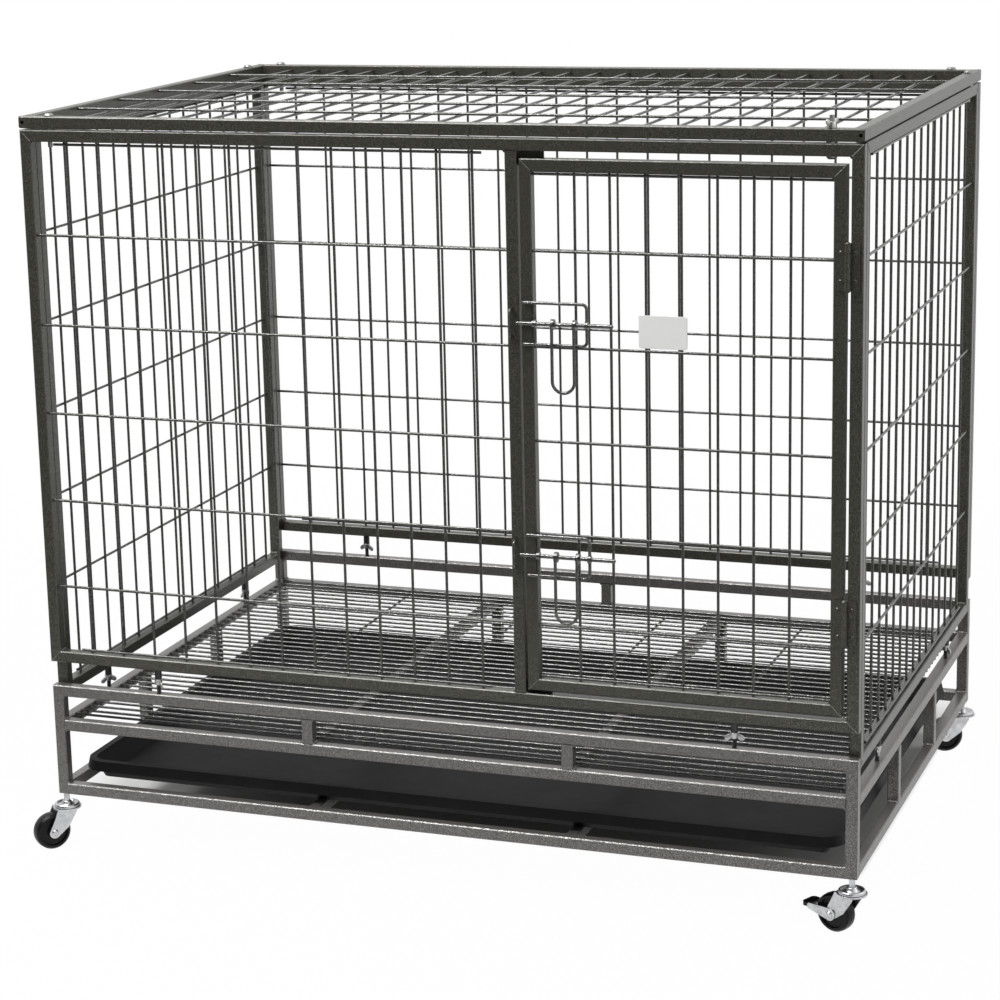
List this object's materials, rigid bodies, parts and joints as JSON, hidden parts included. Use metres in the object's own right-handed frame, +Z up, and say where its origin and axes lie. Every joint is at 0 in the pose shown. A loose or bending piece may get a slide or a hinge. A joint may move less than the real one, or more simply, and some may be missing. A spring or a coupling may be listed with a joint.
{
  "type": "heavy duty dog crate",
  "caption": "Wheeled dog crate of square tube and wire mesh with a latched front door, bolted lid, wire floor grate and a pull-out tray under it.",
  "frame": {"origin": "on the floor under the middle of the frame", "axes": "+X to the right seen from the door side, +Y from the door to the back, +Z up"},
  "size_m": [1.1641, 0.7998, 1.001],
  "materials": {
    "hammered_paint": "hammered",
    "zinc_plate": "bright zinc",
    "black_plastic": "satin",
    "wheel_plastic": "satin"
  },
  "bodies": {
    "crate": {"base_front_frame": "hammered_paint", "base_back_frame": "hammered_paint", "base_left_rails": "hammered_paint", "base_right_rails": "hammered_paint", "base_cross_bars": "hammered_paint", "floor_grate": "hammered_paint", "front_frame": "hammered_paint", "front_mesh": "hammered_paint", "back_frame": "hammered_paint", "back_mesh": "hammered_paint", "left_frame": "hammered_paint", "left_mesh": "hammered_paint", "right_frame": "hammered_paint", "right_mesh": "hammered_paint", "lid_frame": "hammered_paint", "lid_mesh": "hammered_paint", "door_stops": "hammered_paint", "post_hinge_leaves": "hammered_paint", "hinge_pins": "hammered_paint", "bolt_keepers": "hammered_paint", "wall_studs": "zinc_plate", "wall_spacers": "zinc_plate", "wall_wing_nuts": "zinc_plate", "lid_bolts": "zinc_plate", "lid_washers": "zinc_plate", "lid_wing_nut": "zinc_plate", "caster_stems": "zinc_plate", "stem_sockets": "zinc_plate"},
    "door": {"door_frame": "hammered_paint", "door_mesh": "hammered_paint", "door_hinge_leaves": "hammered_paint", "upper_bracket": "hammered_paint", "lower_bracket": "hammered_paint"},
    "upper_bolt": {"upper_bolt": "hammered_paint"},
    "upper_handle": {"upper_handle": "hammered_paint"},
    "lower_bolt": {"lower_bolt": "hammered_paint"},
    "lower_handle": {"lower_handle": "hammered_paint"},
    "tray": {"tray": "black_plastic"},
    "front_left_swivel": {"front_left_fork": "zinc_plate", "front_left_axle": "zinc_plate"},
    "front_left_wheel": {"front_left_wheel": "wheel_plastic"},
    "front_right_swivel": {"front_right_fork": "zinc_plate", "front_right_axle": "zinc_plate"},
    "front_right_wheel": {"front_right_wheel": "wheel_plastic"},
    "back_left_swivel": {"back_left_fork": "zinc_plate", "back_left_axle": "zinc_plate"},
    "back_left_wheel": {"back_left_wheel": "wheel_plastic"},
    "back_right_swivel": {"back_right_fork": "zinc_plate", "back_right_axle": "zinc_plate"},
    "back_right_wheel": {"back_right_wheel": "wheel_plastic"},
    "front_right_brake": {"front_right_brake": "zinc_plate", "front_right_pedal": "black_plastic"},
    "back_left_brake": {"back_left_brake": "zinc_plate", "back_left_pedal": "black_plastic"}
  },
  "joints": [
    {"name": "door_hinge", "type": "hinge", "parent": "crate", "child": "door", "pos_m": [0.52825, -0.3764, 0.281], "axis": [0, 0, 1], "range_deg": [0, 175]},
    {"name": "upper_bolt_slide", "type": "slide", "parent": "door", "child": "upper_bolt", "axis": [-1, 0, 0], "range_m": [0, 0.018]},
    {"name": "upper_handle_swing", "type": "hinge", "parent": "upper_bolt", "child": "upper_handle", "pos_m": [0.1825, -0.3756, 0.746], "axis": [-1, 0, 0], "range_deg": [0, 110]},
    {"name": "lower_bolt_slide", "type": "slide", "parent": "door", "child": "lower_bolt", "axis": [-1, 0, 0], "range_m": [0, 0.018]},
    {"name": "lower_handle_swing", "type": "hinge", "parent": "lower_bolt", "child": "lower_handle", "pos_m": [0.1825, -0.3756, 0.456], "axis": [-1, 0, 0], "range_deg": [0, 110]},
    {"name": "tray_slide", "type": "slide", "parent": "crate", "child": "tray", "axis": [0, -1, 0], "range_m": [0, 0.6]},
    {"name": "front_left_swivel_turn", "type": "hinge", "parent": "crate", "child": "front_left_swivel", "pos_m": [-0.5385, -0.365, 0.06], "axis": [0, 0, 1], "continuous": true},
    {"name": "front_left_wheel_spin", "type": "hinge", "parent": "front_left_swivel", "child": "front_left_wheel", "pos_m": [-0.55393, -0.38338, 0.025], "axis": [0.766, -0.6428, 0], "continuous": true},
    {"name": "front_right_swivel_turn", "type": "hinge", "parent": "crate", "child": "front_right_swivel", "pos_m": [0.5385, -0.365, 0.06], "axis": [0, 0, 1], "continuous": true},
    {"name": "front_right_wheel_spin", "type": "hinge", "parent": "front_right_swivel", "child": "front_right_wheel", "pos_m": [0.51675, -0.35486, 0.025], "axis": [-0.4226, -0.9063, 0], "continuous": true},
    {"name": "front_right_brake_press", "type": "hinge", "parent": "front_right_swivel", "child": "front_right_brake", "pos_m": [0.51675, -0.35486, 0.025], "axis": [-0.4226, -0.9063, 0], "range_deg": [0, 20]},
    {"name": "back_left_swivel_turn", "type": "hinge", "parent": "crate", "child": "back_left_swivel", "pos_m": [-0.5385, 0.365, 0.06], "axis": [0, 0, 1], "continuous": true},
    {"name": "back_left_wheel_spin", "type": "hinge", "parent": "back_left_swivel", "child": "back_left_wheel", "pos_m": [-0.56168, 0.37121, 0.025], "axis": [-0.2588, -0.9659, 0], "continuous": true},
    {"name": "back_left_brake_press", "type": "hinge", "parent": "back_left_swivel", "child": "back_left_brake", "pos_m": [-0.56168, 0.37121, 0.025], "axis": [-0.2588, -0.9659, 0], "range_deg": [0, 20]},
    {"name": "back_right_swivel_turn", "type": "hinge", "parent": "crate", "child": "back_right_swivel", "pos_m": [0.5385, 0.365, 0.06], "axis": [0, 0, 1], "continuous": true},
    {"name": "back_right_wheel_spin", "type": "hinge", "parent": "back_right_swivel", "child": "back_right_wheel", "pos_m": [0.51595, 0.35679, 0.025], "axis": [0.342, -0.9397, 0], "continuous": true}
  ]
}
